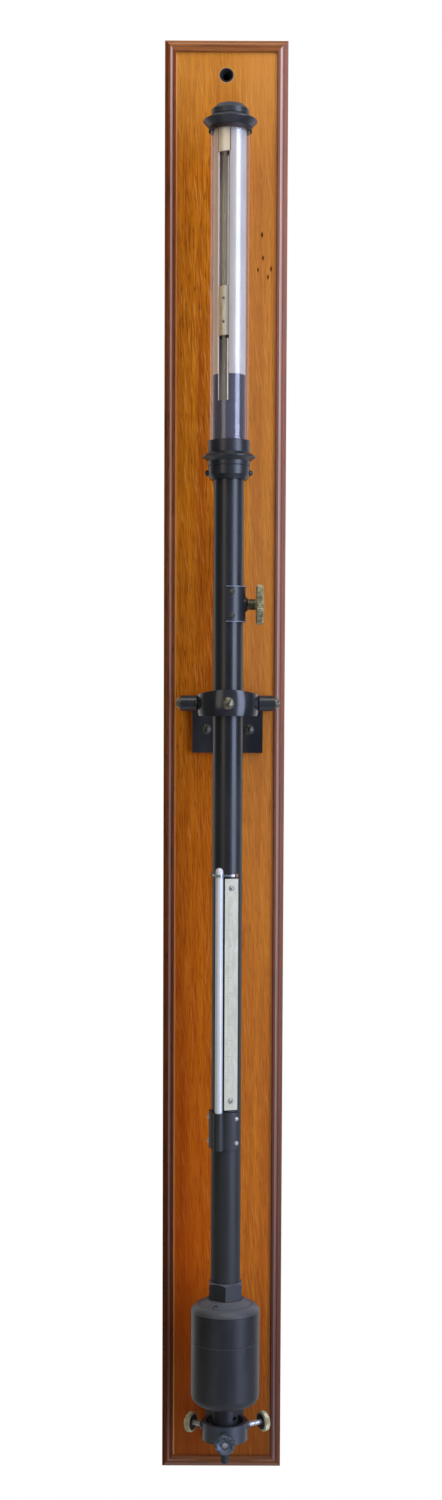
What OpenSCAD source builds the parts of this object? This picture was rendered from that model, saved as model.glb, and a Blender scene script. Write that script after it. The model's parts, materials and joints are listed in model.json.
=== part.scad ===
// Stick barometer of the station pattern on its oak board: a glass tube and a closed
// cistern in a brass frame, hung in a gimbal and steadied by a ring with three screws.
// The origin is the centre of the hanging hole on the wall side, +Z is up, and the
// front faces -Y. An azimuth is counted from the front (-Y) towards the right (+X).

/* [Board] */
// Width of the board over its mouldings
board_w = 94; // [88:1:110]
// How far the board reaches below the cistern
board_low = 69; // [50:0.1:120]
// Thickness of the oak panel
panel_t = 14; // [13:0.5:18]
// Width of the edge mouldings seen from the front
moulding_w = 8.4; // [7:0.1:9.5]
// How far the mouldings stand proud of the panel
moulding_rise = 3; // [2.5:0.1:5]
// Radius of the bead along the front of the mouldings
bead_r = 2.4; // [1.5:0.1:2.5]
// How far the instrument hangs right of the hanging hole, which is in the middle of the board
axis_right = 2.7; // [0:0.1:4]
// Drop of the hanging hole below the top of the board
hole_drop = 25.2; // [20:0.1:30]
// Radius of the bore in the hanging bush
hang_r = 2.5; // [2:0.1:3]
// Outer radius of the hanging bush
bush_r = 5.3; // [4.5:0.1:6.5]
// Depth of the countersink in the bush
bush_sink = 6; // [3:0.5:8]
// How far the bush stands proud of the panel
bush_proud = 0.5; // [0.3:0.1:1]

/* [Heights] */
// Drop of the scale tube's top below the top of the board
head_drop = 76.7; // [60:0.1:90]
// Distance from the panel's front to the axis of the instrument
axis_gap = 51; // [45:0.5:60]
// Main tube above the gimbal pivots
tube_up = 174.5; // [165:0.5:185]
// Length of the scale tube, from the main tube to the cap
scale_len = 252; // [245:1:262]
// Height of the vernier pinion above the gimbal pivots
pinion_up = 74; // [65:0.5:85]
// Drop of the thermometer's top below the gimbal pivots
therm_drop = 123.3; // [100:0.1:135]

/* [Tubes] */
// Outer radius of the main tube and the scale tube
tube_r = 11.3; // [11:0.1:12.5]
// Wall of the main tube and the scale tube
tube_wall = 1; // [0.8:0.1:1.2]
// Outer radius of the glass barometer tube
glass_r = 4.8; // [4.2:0.1:4.9]
// Wall of the glass barometer tube
glass_wall = 1.5; // [1:0.1:2]
// Gap between the scale tube and the glass shade
shade_gap = 1.9; // [1.3:0.1:3]
// How far the scale tube stands out beyond the main tube inside the shade
scale_out = 0.7; // [0.3:0.1:0.9]
// Wall of the glass shade
shade_wall = 1.8; // [1.2:0.1:2.5]
// Radial clearance of every turned fit
fit = 0.05; // [0.03:0.01:0.08]
// Gap between faces that move past each other
run_gap = 0.3; // [0.2:0.1:0.5]

/* [Shade collar] */
// Height of the socket ring under the shade cup
socket_h = 10; // [8:0.5:14]
// Radius of the socket ring beyond the tube
socket_out = 4.2; // [3.5:0.1:5.5]
// Height of the cup that holds the shade
cup_h = 18.5; // [16:0.5:24]
// Depth of the shade inside the cup
cup_depth = 9.3; // [6:0.1:10.5]
// Wall of the cup round the shade
cup_wall = 0.75; // [0.6:0.05:1.5]
// Height of the sharp-edged flange on the cup
flange_h = 6.5; // [4:0.1:7.5]
// How far the sharp edge stands out from the cup
flange_out = 4.2; // [2:0.1:6]
// Thickness of the leather washer under the shade
washer_t = 1.5; // [1:0.1:2]
// Radius of the two side screws' shanks
side_screw_r = 1.2; // [1:0.1:1.5]

/* [Cap] */
// Height of the sharp-edged flange of the cap ring
cap_flange_h = 8; // [6:0.1:9]
// Height of the cap
cap_h = 8; // [6.5:0.1:14]
// Radius of the cap beyond the tube
cap_out = 2.7; // [1.5:0.1:3.5]
// Bevel of the cap's shoulder
cap_bevel = 3.6; // [2:0.1:6]
// Height of the leather ring round the top of the shade
seal_h = 3; // [2:0.1:5]

/* [Scale and vernier] */
// Drop of the slot's top below the top of the scale tube
slot_drop = 21.5; // [20:0.1:30]
// Length of the slot
slot_len = 181; // [170:1:190]
// Width of the slot
slot_w = 8.4; // [7:0.1:9]
// How far the slot's edges are chamfered
slot_flare = 0.5; // [0.2:0.1:2]
// Azimuth of the slot and the thermometer
front_turn = -24; // [-30:1:0]
// Height of the vernier plate
vernier_h = 36; // [30:1:45]
// Height of the vernier's lower edge above the bottom of the slot
reading_up = 47.6; // [10:0.1:130]
// Height of the mercury column above the mercury in the cistern
mercury_h = 762; // [720:1:800]
// Wall of the vernier slide
slide_wall = 1.1; // [0.8:0.1:1.4]
// Room left at each end of the vernier's travel
slide_room = 1.5; // [1:0.1:3]

/* [Rack and pinion] */
// Number of teeth of the pinion
pinion_teeth = 12; // [10:1:13]
// Module of the teeth, pitch over pi
tooth_module = 0.5; // [0.45:0.05:0.5]
// Play between the teeth of rack and pinion
tooth_play = 0.12; // [0.08:0.01:0.2]
// Width of the rack
rack_w = 2.4; // [2:0.1:2.6]
// Thickness of the rack behind its teeth
rack_t = 1.3; // [1:0.1:1.5]
// Radius of the pinion's shaft
shaft_r = 1.5; // [1.2:0.1:1.8]
// Radius of the milled knob
knob_r = 14.9; // [12:0.1:18]
// Thickness of the milled knob
knob_t = 5.4; // [4:0.1:8]
// Distance of the knob's inner face from the axis of the tube
knob_off = 20.9; // [20:0.1:26]
// Height of the pinion housing
housing_h = 26.8; // [20:0.1:36]
// Thickness of the pinion housing over the tube
housing_t = 1.6; // [1.2:0.1:2.5]

/* [Gimbal] */
// Radius of the suspension collar beyond the tube
collar_out = 4.2; // [3.5:0.1:6]
// Height of the suspension collar
collar_h = 14; // [10:1:18]
// Gap between the suspension collar and the gimbal ring
ring_gap = 3.9; // [2.5:0.1:5]
// Wall of the gimbal ring
ring_wall = 4; // [3:0.1:5]
// Height of the gimbal ring at its front and back
ring_front_h = 20.2; // [18:0.1:24]
// How far the ring's outer face bulges between its edges
ring_bulge = 1.4; // [0.6:0.1:1.8]
// Height of the gimbal ring at its sides
ring_side_h = 12.8; // [10:0.1:16]
// Radius of the pivot pins
pin_r = 1.8; // [1.5:0.1:2.2]
// Radius of the pivot screws' threads
pivot_thread_r = 2.4; // [2.3:0.1:2.6]
// Radius of the bracket's arms and bosses
arm_r = 5.9; // [5:0.1:7]
// Length of the bosses at the ends of the arms
boss_len = 11.8; // [10:0.1:15]
// Width of the wall plate
plate_w = 54.6; // [50:0.1:60]
// Drop of the wall plate below the pivots
plate_drop = 38.4; // [34:0.1:44]
// Thickness of the wall plates
plate_t = 4; // [3:0.5:5]
// Half the distance between the wall plate's screws
plate_screw_x = 16.7; // [14:0.1:20]
// Drop of the wall plate's screws below the pivots
plate_screw_drop = 20.3; // [18:0.1:26]
// Length of the wood screws below their heads
wood_len = 14; // [11:0.5:15]
// Radius of the wood screws' shanks
wood_r = 1.9; // [1.5:0.1:2.2]

/* [Thermometer] */
// Radius of the thermometer's stem
stem_r = 2.9; // [2.4:0.1:3.2]
// Width of the thermometer's scale plate
therm_w = 10.2; // [8:0.1:11]
// Length of the thermometer's scale plate
therm_len = 175.6; // [150:1:185]
// Thickness of the thermometer's scale plate
therm_t = 1.2; // [0.8:0.1:2]
// Turn of the scale plate to the right of the stem
therm_turn = 39; // [37:1:45]
// Drop of the scale plate below the top of the stem
therm_step = 8.3; // [8:0.1:12]
// Gap between the stem and the tube
stem_gap = 0.2; // [0.1:0.1:0.5]
// Height of the bulb guard
guard_h = 28.5; // [24:0.5:36]
// Wall of the bulb guard over the tube
guard_t = 1.9; // [1.5:0.1:2.5]
// Height of the strap over the stem
strap_h = 1.6; // [1.2:0.1:2.5]
// Thickness of the strap
strap_t = 0.6; // [0.5:0.1:1]
// Radius of the thermometer's small screws' shanks
fix_r = 0.9; // [0.7:0.05:1]

/* [Cistern] */
// Width of the hexagon union across its flats, beyond the tube
hex_out = 2.4; // [2:0.1:4]
// Height of the hexagon union
hex_h = 13; // [11:0.5:16]
// Depth of the main tube in the union
hex_seat = 9; // [7:0.5:10]
// Outer radius of the cistern
cist_r = 26.3; // [25.5:0.1:29]
// Height of the cistern's shoulder above its straight wall
shoulder_h = 10.2; // [9:0.1:14]
// Height of the straight wall of the cistern's top
cist_top_h = 22; // [18:0.5:28]
// Height of the cistern's lower part
cist_low_h = 50.5; // [46:0.5:54]
// Wall of the cistern
cist_wall = 4.3; // [4:0.1:5.5]
// Thickness of the cistern's floor
floor_t = 8; // [7:0.5:10]
// Depth of mercury in the cistern
mercury_fill = 39.6; // [35:0.1:42]
// Rounding of the cistern's lower edge
cist_round = 8; // [4:0.5:9]
// Length of the joint between the two parts of the cistern
joint_h = 8; // [6:0.5:10]
// Thickness of the cistern's leather gasket
gasket_t = 0.5; // [0.4:0.1:1]
// Radius of the vent screw's shank
vent_r = 1; // [0.8:0.1:1.3]
// Azimuth of the vent screw on the shoulder
vent_turn = -25; // [-60:1:60]

/* [Base plug] */
// Radius of the base plug's neck
neck_r = 10; // [8:0.1:10.2]
// Length of the base plug's neck
neck_len = 30.8; // [29:0.1:34]
// Radius of the tail stud
tail_r = 3.2; // [2.5:0.1:4]
// Length of the tail stud
tail_len = 16.7; // [12:0.1:18]
// Radius of the cross hole in the neck
tommy_r = 2.2; // [1.5:0.1:2.4]
// Azimuth of the cross hole
tommy_turn = 48; // [0:1:80]

/* [Centring bracket] */
// Wall of the centring ring
steady_wall = 3; // [2.5:0.1:4]
// Room between the neck and the centring ring
steady_room = 4.5; // [4.3:0.1:6]
// Height of the centring ring
steady_h = 14; // [12:0.5:16]
// Drop of the centring screws below the cistern
steady_drop = 20.5; // [20:0.5:22]
// Width of the centring bracket's plate
steady_plate_w = 30; // [26:1:36]
// Height of the centring bracket's plate
steady_plate_h = 46; // [44:1:48]
// Width of the centring bracket's arm
steady_arm_w = 12; // [8:0.5:16]
// Height of the centring bracket's arm
steady_arm_h = 10; // [8:0.5:12]
// Thickness of the rib under the arm
steady_rib_t = 5; // [3:0.5:7]
// Radius of the centring screws
steady_screw_r = 2; // [1.7:0.1:2.3]
// Length of the centring screws from tip to the middle of the head
steady_screw_len = 17.5; // [16:0.1:20]
// Radius of the centring screws' heads
steady_head_r = 7.8; // [6:0.1:8.5]
// Thickness of the centring screws' heads
steady_head_t = 4.6; // [3.5:0.1:6]
// Distance of the left screw's tip from the ring's centre
tip_left = 13; // [13:0.1:15]
// Distance of the right screw's tip from the ring's centre
tip_right = 17.1; // [13:0.1:17.5]
// Distance of the front screw's tip from the ring's centre
tip_front = 16; // [13:0.1:17.5]

/* [Hidden] */
$fn = 64;
eps = 0.01;

// Board
z_top = hole_drop;
panel_w = board_w - 2 * moulding_w;
moulding_t = panel_t + moulding_rise;
axis_y = -(panel_t + axis_gap);

// Levels, from the top of the board down to the foot of the main tube
z_head = z_top - head_drop;
z_joint = z_head - scale_len;
z_gimbal = z_joint - tube_up;
z_pinion = z_gimbal + pinion_up;
z_slot = z_head - slot_drop;
z_zero = z_slot - slot_len + reading_up;
z_level = z_zero - mercury_h;
z_floor = z_level - mercury_fill;
z_cist = z_floor - floor_t;
z_seam = z_cist + cist_low_h;
z_rim = z_seam + cist_top_h;
z_hex = z_rim + shoulder_h + run_gap;
z_foot = z_hex + hex_h - hex_seat;
z_bottom = z_cist - board_low;
board_h = z_top - z_bottom;
tube_in = tube_r - tube_wall;
fitted_r = tube_r + fit;

// Collar and shade
socket_r = tube_r + socket_out;
socket_neck_r = tube_r + 1.7;
socket_neck_h = 5.7;
z_socket = z_joint + 0.2 * socket_h;
z_cup = z_socket + run_gap;
z_cup_top = z_cup + cup_h;
z_washer = z_cup_top - cup_depth;
scale_r = tube_r + scale_out;
shade_in = tube_r + shade_gap;
shade_r = shade_in + shade_wall;
cup_r = shade_r + fit + cup_wall;
z_shade = z_washer + washer_t;

// Cap
z_flange = z_head - 2.4;
seal_top_t = 1.1;
z_shade_top = z_flange - seal_top_t;
cap_r = tube_r + cap_out;
cap_neck_h = 0.6;
z_cap = z_flange + cap_flange_h + cap_neck_h;
spigot_h = z_cap - cap_neck_h - z_head - run_gap;
spigot_r = tube_r + 0.7;

// Cistern
hex_flat = 2 * tube_r + hex_out;
hex_r = hex_flat / (2 * cos(30));
cist_in = cist_r - cist_wall;
joint_r = cist_r - cist_wall * 0.45;
lid_t = 8;
z_ceiling = z_rim + shoulder_h - 3.5 - lid_t;
union_spigot_r = 9.9;
packing_r = 8;
packing_h = 5;
union_spigot_h = 7;
z_glass_foot = z_floor + floor_t;

// Reading and vernier
plate_top = z_zero + vernier_h;
travel_up = z_slot - plate_top - slide_room;
travel_down = reading_up - slide_room;
slide_r = tube_in - fit;
slide_in = slide_r - slide_wall;
vernier_r = tube_r - 0.1;
vernier_w = slot_w - 2 * fit;
vernier_screw_r = 0.7;

// Rack and pinion
pitch = PI * tooth_module;
pitch_r = tooth_module * pinion_teeth / 2;
addendum = 0.9 * tooth_module;
dedendum = 1.2 * tooth_module;
pinion_r = pitch_r + addendum;
rack_x = glass_r + 0.9;
rack_back = pitch_r + dedendum + rack_t;
rack_end = 4;
window_r = pinion_r + 0.55;
pinion_x = rack_x - 0.1;
pinion_len = rack_w + 0.3;
lug_h = 5;
z_lug = z_zero;

// Gimbal
collar_r = tube_r + collar_out;
ring_in = collar_r + ring_gap;
ring_r = ring_in + ring_wall;
boss_x = ring_r + run_gap;
arm_x = boss_x + boss_len / 2;
arch_drop = (ring_front_h - ring_side_h) / 2;
ring_edge = 0.6;
arch_r = (ring_r * ring_r + arch_drop * arch_drop) / (2 * arch_drop);
spot_depth = 0.6;
pivot_head_r = 4.7;
ear_r = 4;

// Thermometer
z_stem = z_gimbal - therm_drop;
z_therm = z_stem - therm_step;
z_therm_low = z_therm - therm_len;
z_guard = z_therm_low - 2.3;
z_strap = z_stem - 6;
stem_off = tube_r + stem_gap + stem_r;
bulb_r = stem_r + stem_gap / 2;
hump_r = bulb_r + 1.2;
therm_az = front_turn + therm_turn;
therm_y = tube_r + 0.7;
therm_screw_in = 7;
guard_span = 72;
guard_screw_in = 5;
thread_bore = 0.6;
screw_spread = 60;

// Housing
housing_r = fitted_r + housing_t;
housing_span = 98;
housing_screw_az = 78;
housing_screw_z = housing_h / 2 - 4.7;
housing_screw_r = 1.1;
hub_x = housing_r + 1.7;
hub_r = 4;

// Centring bracket
z_steady = z_cist - steady_drop;
steady_in = neck_r + steady_room;
steady_r = steady_in + steady_wall;
steady_boss_r = steady_screw_r + 1.8;
steady_boss_end = steady_r + 3;
z_steady_plate = z_steady - 0.54 * steady_plate_h;
steady_screws = [["left", -120, tip_left], ["right", 120, tip_right], ["front", 0, tip_front]];
neck_gap = run_gap;

// Points along an arc, from angle a0 to a1 in n steps
function arc(c, r, a0, a1, n) = [
    for (i = [0:n]) c + r * [cos(a0 + (a1 - a0) * i / n), sin(a0 + (a1 - a0) * i / n)]
];

// Places a piece drawn round the Z axis on the axis of the instrument
module on_axis(z = 0) {
    translate([axis_right, axis_y, z]) children();
}

// Turns a piece so that its +Z points outwards from the axis at an azimuth
module radial(az, r, z) {
    on_axis(z) rotate([0, 0, az]) translate([0, -r, 0]) rotate([90, 0, 0]) children();
}

// Turns a piece so that its +Z points out of the board
module on_board(x, z, y = 0) {
    translate([x, -panel_t - y, z]) rotate([90, 0, 0]) children();
}

module ring(r_out, r_in, h) {
    difference() {
        cylinder(r = r_out, h = h);
        translate([0, 0, -1]) cylinder(r = r_in, h = h + 2);
    }
}

// Flat sector from azimuth a0 to a1, out to radius r
module sector(a0, a1, r) {
    steps = ceil((a1 - a0) / 30);
    polygon(concat([[0, 0]], [
        for (i = [0:steps]) let (a = a0 + (a1 - a0) * i / steps) r * [sin(a), -cos(a)]
    ]));
}

// Domed screw head with a slot, its seat at z = 0
module screw_head(r, h, slot_turn = 0) {
    dome = (r * r + h * h) / (2 * h);
    difference() {
        intersection() {
            translate([0, 0, h - dome]) sphere(r = dome);
            cylinder(r = r, h = h);
        }
        rotate([0, 0, slot_turn]) translate([-r - 1, -r * 0.11, h * 0.45]) cube([2 * r + 2, r * 0.22, h]);
    }
}

// Screw with a domed head above z = 0 and its shank below
module screw(head_r, head_h, shank_r, len, slot_turn = 0) {
    screw_head(head_r, head_h, slot_turn);
    translate([0, 0, -len]) cylinder(r = shank_r, h = len + head_h * 0.3);
}

module wood_screw(slot_turn) {
    screw_head(wood_r * 2.2, wood_r * 1.1, slot_turn);
    translate([0, 0, -wood_len + wood_r]) cylinder(r = wood_r, h = wood_len - wood_r / 2);
    translate([0, 0, -wood_len]) cylinder(r1 = wood_r * 0.3, r2 = wood_r, h = wood_r + eps);
}

module wood_hole() {
    translate([0, 0, -wood_len - 0.5]) cylinder(r = wood_r + fit, h = wood_len + 1);
}

// Outline with a sharp double bevel, from r_low at z = 0 to r_high at z = h
function flange_profile(r_in, r_low, r_high, r_edge, h) = [
    [r_in, 0], [r_low, 0], [r_edge, h * 0.42], [r_edge, h * 0.52], [r_high, h], [r_in, h]
];

module backboard() {
    color("#a8622a") difference() {
        translate([-panel_w / 2, -panel_t, z_bottom + moulding_w])
            cube([panel_w, panel_t, board_h - 2 * moulding_w]);
        translate([0, 1, 0]) rotate([90, 0, 0]) cylinder(r = bush_r + fit, h = panel_t + 2);
        bracket_screw_places() wood_hole();
        centring_screw_places() wood_hole();
    }
}

// Section of the mouldings: u runs inwards from the board's edge, v away from the wall
module moulding_section() {
    polygon(concat(
        [[0, 0], [moulding_w, 0], [moulding_w, panel_t + moulding_rise * 0.3]],
        arc([moulding_w - bead_r * 0.5, panel_t + moulding_rise * 0.3], bead_r * 0.5, 0, 90, 4),
        arc([bead_r + 1, moulding_t - bead_r], bead_r, 40, 150, 8),
        [[0, moulding_t - bead_r * 0.8]]
    ));
}

// One moulding of length len along +X, mitred at both ends, outer edge at z = 0
module moulding(len) {
    intersection() {
        rotate([90, 0, 90]) linear_extrude(height = len)
            rotate(90) moulding_section();
        rotate([90, 0, 0]) linear_extrude(height = moulding_t + 1)
            polygon([[0, 0], [len, 0], [len - moulding_w, moulding_w], [moulding_w, moulding_w]]);
    }
}

module moulding_bottom() {
    color("#5b2716") translate([-board_w / 2, 0, z_bottom]) moulding(board_w);
}

module moulding_top() {
    color("#5b2716") translate([-board_w / 2, 0, z_top]) mirror([0, 0, 1]) moulding(board_w);
}

module moulding_left() {
    color("#5b2716") translate([-board_w / 2, 0, z_bottom]) mirror([1, 0, 0])
        rotate([0, -90, 0]) moulding(board_h);
}

module moulding_right() {
    color("#5b2716") translate([board_w / 2, 0, z_bottom]) rotate([0, -90, 0]) moulding(board_h);
}

module hanging_bush() {
    length = panel_t + bush_proud;
    color("#0c0a0a") rotate([90, 0, 0]) rotate_extrude() polygon(concat(
        [[hang_r, 0], [bush_r, 0]],
        arc([bush_r - bush_proud, length - bush_proud], bush_proud, 0, 90, 4),
        [[bush_r - bush_proud - 0.3, length], [hang_r, length - bush_sink]]
    ));
}

module bracket_screw_places() {
    for (side = [-1, 1])
        on_board(axis_right + side * plate_screw_x, z_gimbal - plate_screw_drop, plate_t) children();
}

// Cast bracket: wall plate with ears, two round arms and the bosses of the side pivots
module gimbal_bracket() {
    ear_x = arm_x + ear_r;
    color("#17171a") difference() {
        union() {
            on_board(axis_right, 0) linear_extrude(height = plate_t) union() {
                translate([-plate_w / 2, z_gimbal - plate_drop]) square([plate_w, plate_drop]);
                translate([-ear_x, z_gimbal - arm_r]) square([2 * ear_x, 2 * arm_r]);
            }
            for (side = [-1, 1]) {
                on_board(axis_right + side * arm_x, z_gimbal) cylinder(r = arm_r - 0.2, h = axis_gap);
                on_axis(z_gimbal) translate([side * arm_x, 0, 0]) rotate([0, 90, 0])
                    cylinder(r = arm_r, h = boss_len, center = true);
            }
        }
        on_axis(z_gimbal) rotate([0, 90, 0])
            cylinder(r = pivot_thread_r + fit, h = 2 * (boss_x + boss_len) + 2, center = true);
        bracket_screw_places() translate([0, 0, -plate_t - 1]) cylinder(r = wood_r + fit, h = plate_t + 2);
    }
}

module bracket_screws() {
    color("#8d8468") bracket_screw_places() wood_screw(75);
}

// Brass screws in the bosses, whose inner pins carry the gimbal ring
module trunnion_screws() {
    pin_len = ring_wall - 0.6;
    color("#a5925a") for (az = [90, -90]) radial(az, 0, z_gimbal) {
        translate([0, 0, boss_x - run_gap - pin_len]) cylinder(r = pin_r, h = pin_len + 1);
        translate([0, 0, boss_x + 0.5]) cylinder(r = pivot_thread_r, h = boss_len);
        translate([0, 0, boss_x + boss_len]) rotate_extrude() polygon([
            [0, 0], [arm_r * 0.72, 0], [arm_r * 0.72, 1], [pivot_thread_r, 3.6], [0, 3.6]
        ]);
    }
}

module centring_screw_places() {
    for (z = [z_steady_plate + 4.5, z_steady_plate + steady_plate_h - 4.5])
        on_board(axis_right, z, plate_t) children();
}

// Plate, arm with a rib, and the ring whose three bosses carry the centring screws
module centring_bracket() {
    arm_len = axis_gap - steady_in - steady_wall / 2;
    rib_h = 0.24 * steady_plate_h;
    color("#1b1b1e") difference() {
        union() {
            on_axis(z_steady - steady_h / 2) cylinder(r = steady_r, h = steady_h);
            for (s = steady_screws) radial(s[1], steady_in + 1, z_steady)
                cylinder(r = steady_boss_r, h = steady_boss_end - steady_in - 1);
            on_board(axis_right, 0) linear_extrude(height = plate_t)
                translate([-steady_plate_w / 2, z_steady_plate]) square([steady_plate_w, steady_plate_h]);
            translate([axis_right - steady_arm_w / 2, -panel_t - arm_len, z_steady - steady_arm_h / 2])
                cube([steady_arm_w, arm_len, steady_arm_h]);
            translate([axis_right - steady_rib_t / 2, -panel_t, z_steady - steady_arm_h * 0.4])
                rotate([90, 0, 90]) linear_extrude(height = steady_rib_t)
                polygon([[0, 0], [0, -rib_h], [-plate_t - 2, -rib_h], [-arm_len, 0]]);
        }
        on_axis(z_steady - steady_h / 2 - 1) cylinder(r = steady_in, h = steady_h + 2);
        for (s = steady_screws) radial(s[1], steady_in - 3, z_steady)
            cylinder(r = steady_screw_r + fit, h = steady_boss_end - steady_in + 6);
        centring_screw_places() translate([0, 0, -plate_t - 1]) cylinder(r = wood_r + fit, h = plate_t + 2);
    }
}

module centring_bracket_screws() {
    color("#8d8468") centring_screw_places() wood_screw(20);
}

// Bulging ring, flat below and arched above, tallest at the front and back where the pivots are
module gimbal_ring() {
    half = ring_front_h / 2;
    bulge_r = (half * half + ring_bulge * ring_bulge) / (2 * ring_bulge);
    bend = asin(half / bulge_r);
    color("#1d1d20") difference() {
        intersection() {
            on_axis(z_gimbal) rotate_extrude() polygon(concat(
                [[ring_in, half], [ring_in, -half]],
                arc([ring_r - bulge_r, 0], bulge_r, -bend, bend, 16)
            ));
            on_axis(z_gimbal) rotate([90, 0, 0])
                linear_extrude(height = 2 * ring_r + 2, center = true) intersection() {
                    translate([0, half - arch_r]) circle(r = arch_r, $fn = 240);
                    translate([-ring_r - 1, ring_edge - half]) square([2 * ring_r + 2, ring_front_h]);
                }
        }
        for (az = [90, -90]) radial(az, ring_in - 1, z_gimbal) cylinder(r = pin_r + fit, h = ring_wall + 2);
        for (az = [0, 180]) {
            radial(az, ring_in - 1, z_gimbal) cylinder(r = pivot_thread_r + fit, h = ring_wall + 2);
            radial(az, ring_r - spot_depth, z_gimbal) cylinder(r = pivot_head_r + 0.3, h = 3);
        }
    }
}

module ring_pivot_screws() {
    color("#a5925a") for (az = [0, 180]) radial(az, ring_r - spot_depth, z_gimbal) {
        screw(pivot_head_r, 2.2, pivot_thread_r, ring_wall - spot_depth, az == 0 ? 48 : 5);
        translate([0, 0, -ring_wall + spot_depth - ring_gap - 2.6])
            cylinder(r = pin_r, h = ring_gap + 3);
    }
}

module suspension_collar() {
    color("#1d1d20") difference() {
        on_axis(z_gimbal - collar_h / 2) rotate_extrude() polygon([
            [fitted_r, 0], [collar_r - 1, 0], [collar_r, 1],
            [collar_r, collar_h - 1], [collar_r - 1, collar_h], [fitted_r, collar_h]
        ]);
        for (az = [0, 180]) radial(az, collar_r - 3, z_gimbal) cylinder(r = pin_r + fit, h = 4);
    }
}

// Places of the small screws that are tapped into the main tube
module housing_screw_places() {
    for (side = [-1, 1], up = [-1, 1])
        radial(90 + side * housing_screw_az, housing_r, z_pinion + up * housing_screw_z) children();
}

module plate_screw_places() {
    for (z = [z_therm - therm_screw_in, z_therm_low + therm_screw_in])
        radial(therm_az, therm_y + therm_t, z) children();
}

module strap_screw_places() {
    for (side = [-1, 1]) radial(front_turn + side * screw_spread, fitted_r + strap_t, z_strap) children();
}

module guard_screw_places() {
    for (side = [-1, 1], z = [z_guard - guard_screw_in, z_guard - guard_h + guard_screw_in])
        radial(front_turn + side * screw_spread, fitted_r + guard_t, z) children();
}

module tap(r, depth) {
    translate([0, 0, -depth]) cylinder(r = r + fit, h = depth + 2);
}

module main_tube() {
    color("#141416") difference() {
        on_axis(z_foot) ring(tube_r, tube_in, z_joint - z_foot);
        radial(90, tube_in - 2, z_pinion) cylinder(r = window_r, h = tube_wall + 4);
        housing_screw_places() tap(housing_screw_r, housing_t + 2);
        plate_screw_places() tap(fix_r, therm_t + 2.5);
        strap_screw_places() tap(fix_r, strap_t + 2);
        guard_screw_places() tap(fix_r, guard_t + 2);
    }
}

module tube_socket() {
    low = socket_h * 0.8;
    color("#1d1d20") difference() {
        on_axis(z_socket - socket_h) rotate_extrude() polygon([
            [fitted_r, 0], [socket_r - 1.7, 0], [socket_r, low * 0.45], [socket_r, socket_h],
            [socket_neck_r, socket_h], [socket_neck_r, socket_h + socket_neck_h],
            [fitted_r, socket_h + socket_neck_h]
        ]);
        socket_screw_places() translate([0, 0, -socket_out - 1])
            cylinder(r = side_screw_r + fit, h = socket_out + 3);
    }
}

module socket_screw_places() {
    for (az = [90, -90]) radial(az, socket_r, z_socket - socket_h * 0.5) children();
}

module socket_screws() {
    color("#4a3a2c") socket_screw_places()
        screw(side_screw_r * 1.9, 2.4, side_screw_r, socket_out - fit, 30);
}

// Cup that screws on the socket and holds the foot of the glass shade
module shade_cup() {
    low = cup_h - cup_depth - flange_h;
    neck = socket_neck_h - run_gap + 0.3;
    color("#1d1d20") on_axis(z_cup) rotate_extrude() polygon([
        [socket_neck_r + fit, 0], [cup_r - 0.3, 0], [cup_r, 0.3], [cup_r, low + 0.6],
        [cup_r + flange_out, low + 0.6 + flange_h * 0.45],
        [cup_r + flange_out, low + 0.6 + flange_h * 0.55],
        [cup_r, low + 0.6 + flange_h], [cup_r, cup_h - 0.2], [cup_r - 0.2, cup_h], [shade_r + fit, cup_h],
        [shade_r + fit, cup_h - cup_depth], [fitted_r, cup_h - cup_depth],
        [fitted_r, neck], [socket_neck_r + fit, neck]
    ]);
}

module shade_washer() {
    color("#5a3320") on_axis(z_washer) ring(shade_r, tube_r + 0.3, washer_t);
}

// Tube with the slot, a little wider where the shade surrounds it
module scale_tube() {
    half = slot_w / 2;
    low = z_shade + 0.5 - z_joint;
    high = z_shade_top - 0.3 - z_joint;
    color("#c9ccd0") difference() {
        on_axis(z_joint) rotate_extrude() polygon([
            [tube_in, 0], [tube_r, 0], [tube_r, low], [scale_r, low], [scale_r, high],
            [tube_r, high], [tube_r, scale_len], [tube_in, scale_len]
        ]);
        on_axis(z_slot - slot_len) rotate([0, 0, front_turn]) linear_extrude(height = slot_len)
            polygon([
                [-half, -tube_in * 0.7], [half, -tube_in * 0.7], [half, -tube_in * 0.85],
                [half + slot_flare, -scale_r - 0.6], [-half - slot_flare, -scale_r - 0.6],
                [-half, -tube_in * 0.85]
            ]);
    }
}

module glass_shade() {
    color("#dfe9ea", 0.35) on_axis(z_shade) ring(shade_r, shade_in, z_shade_top - z_shade);
}

// Leather ring that caps the top of the shade and seals it to the cap ring
module shade_seal() {
    out = shade_r + 1;
    color("#4c1d14") on_axis(z_flange - seal_h) rotate_extrude() polygon([
        [shade_r + fit, 0], [out, 0], [out, seal_h], [fitted_r + 0.2, seal_h],
        [fitted_r + 0.2, seal_h - seal_top_t + fit], [shade_r + fit, seal_h - seal_top_t + fit]
    ]);
}

module cap_ring() {
    seat = z_head - z_flange;
    color("#1a1a1c") on_axis(z_flange) rotate_extrude() polygon([
        [fitted_r, 0], [shade_r + 1.2, 0], [shade_r + cup_wall + flange_out, cap_flange_h * 0.53],
        [shade_r + cup_wall + flange_out, cap_flange_h * 0.62], [cap_r + 0.6, cap_flange_h],
        [spigot_r + fit, cap_flange_h], [spigot_r + fit, seat], [fitted_r, seat]
    ]);
}

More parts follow.
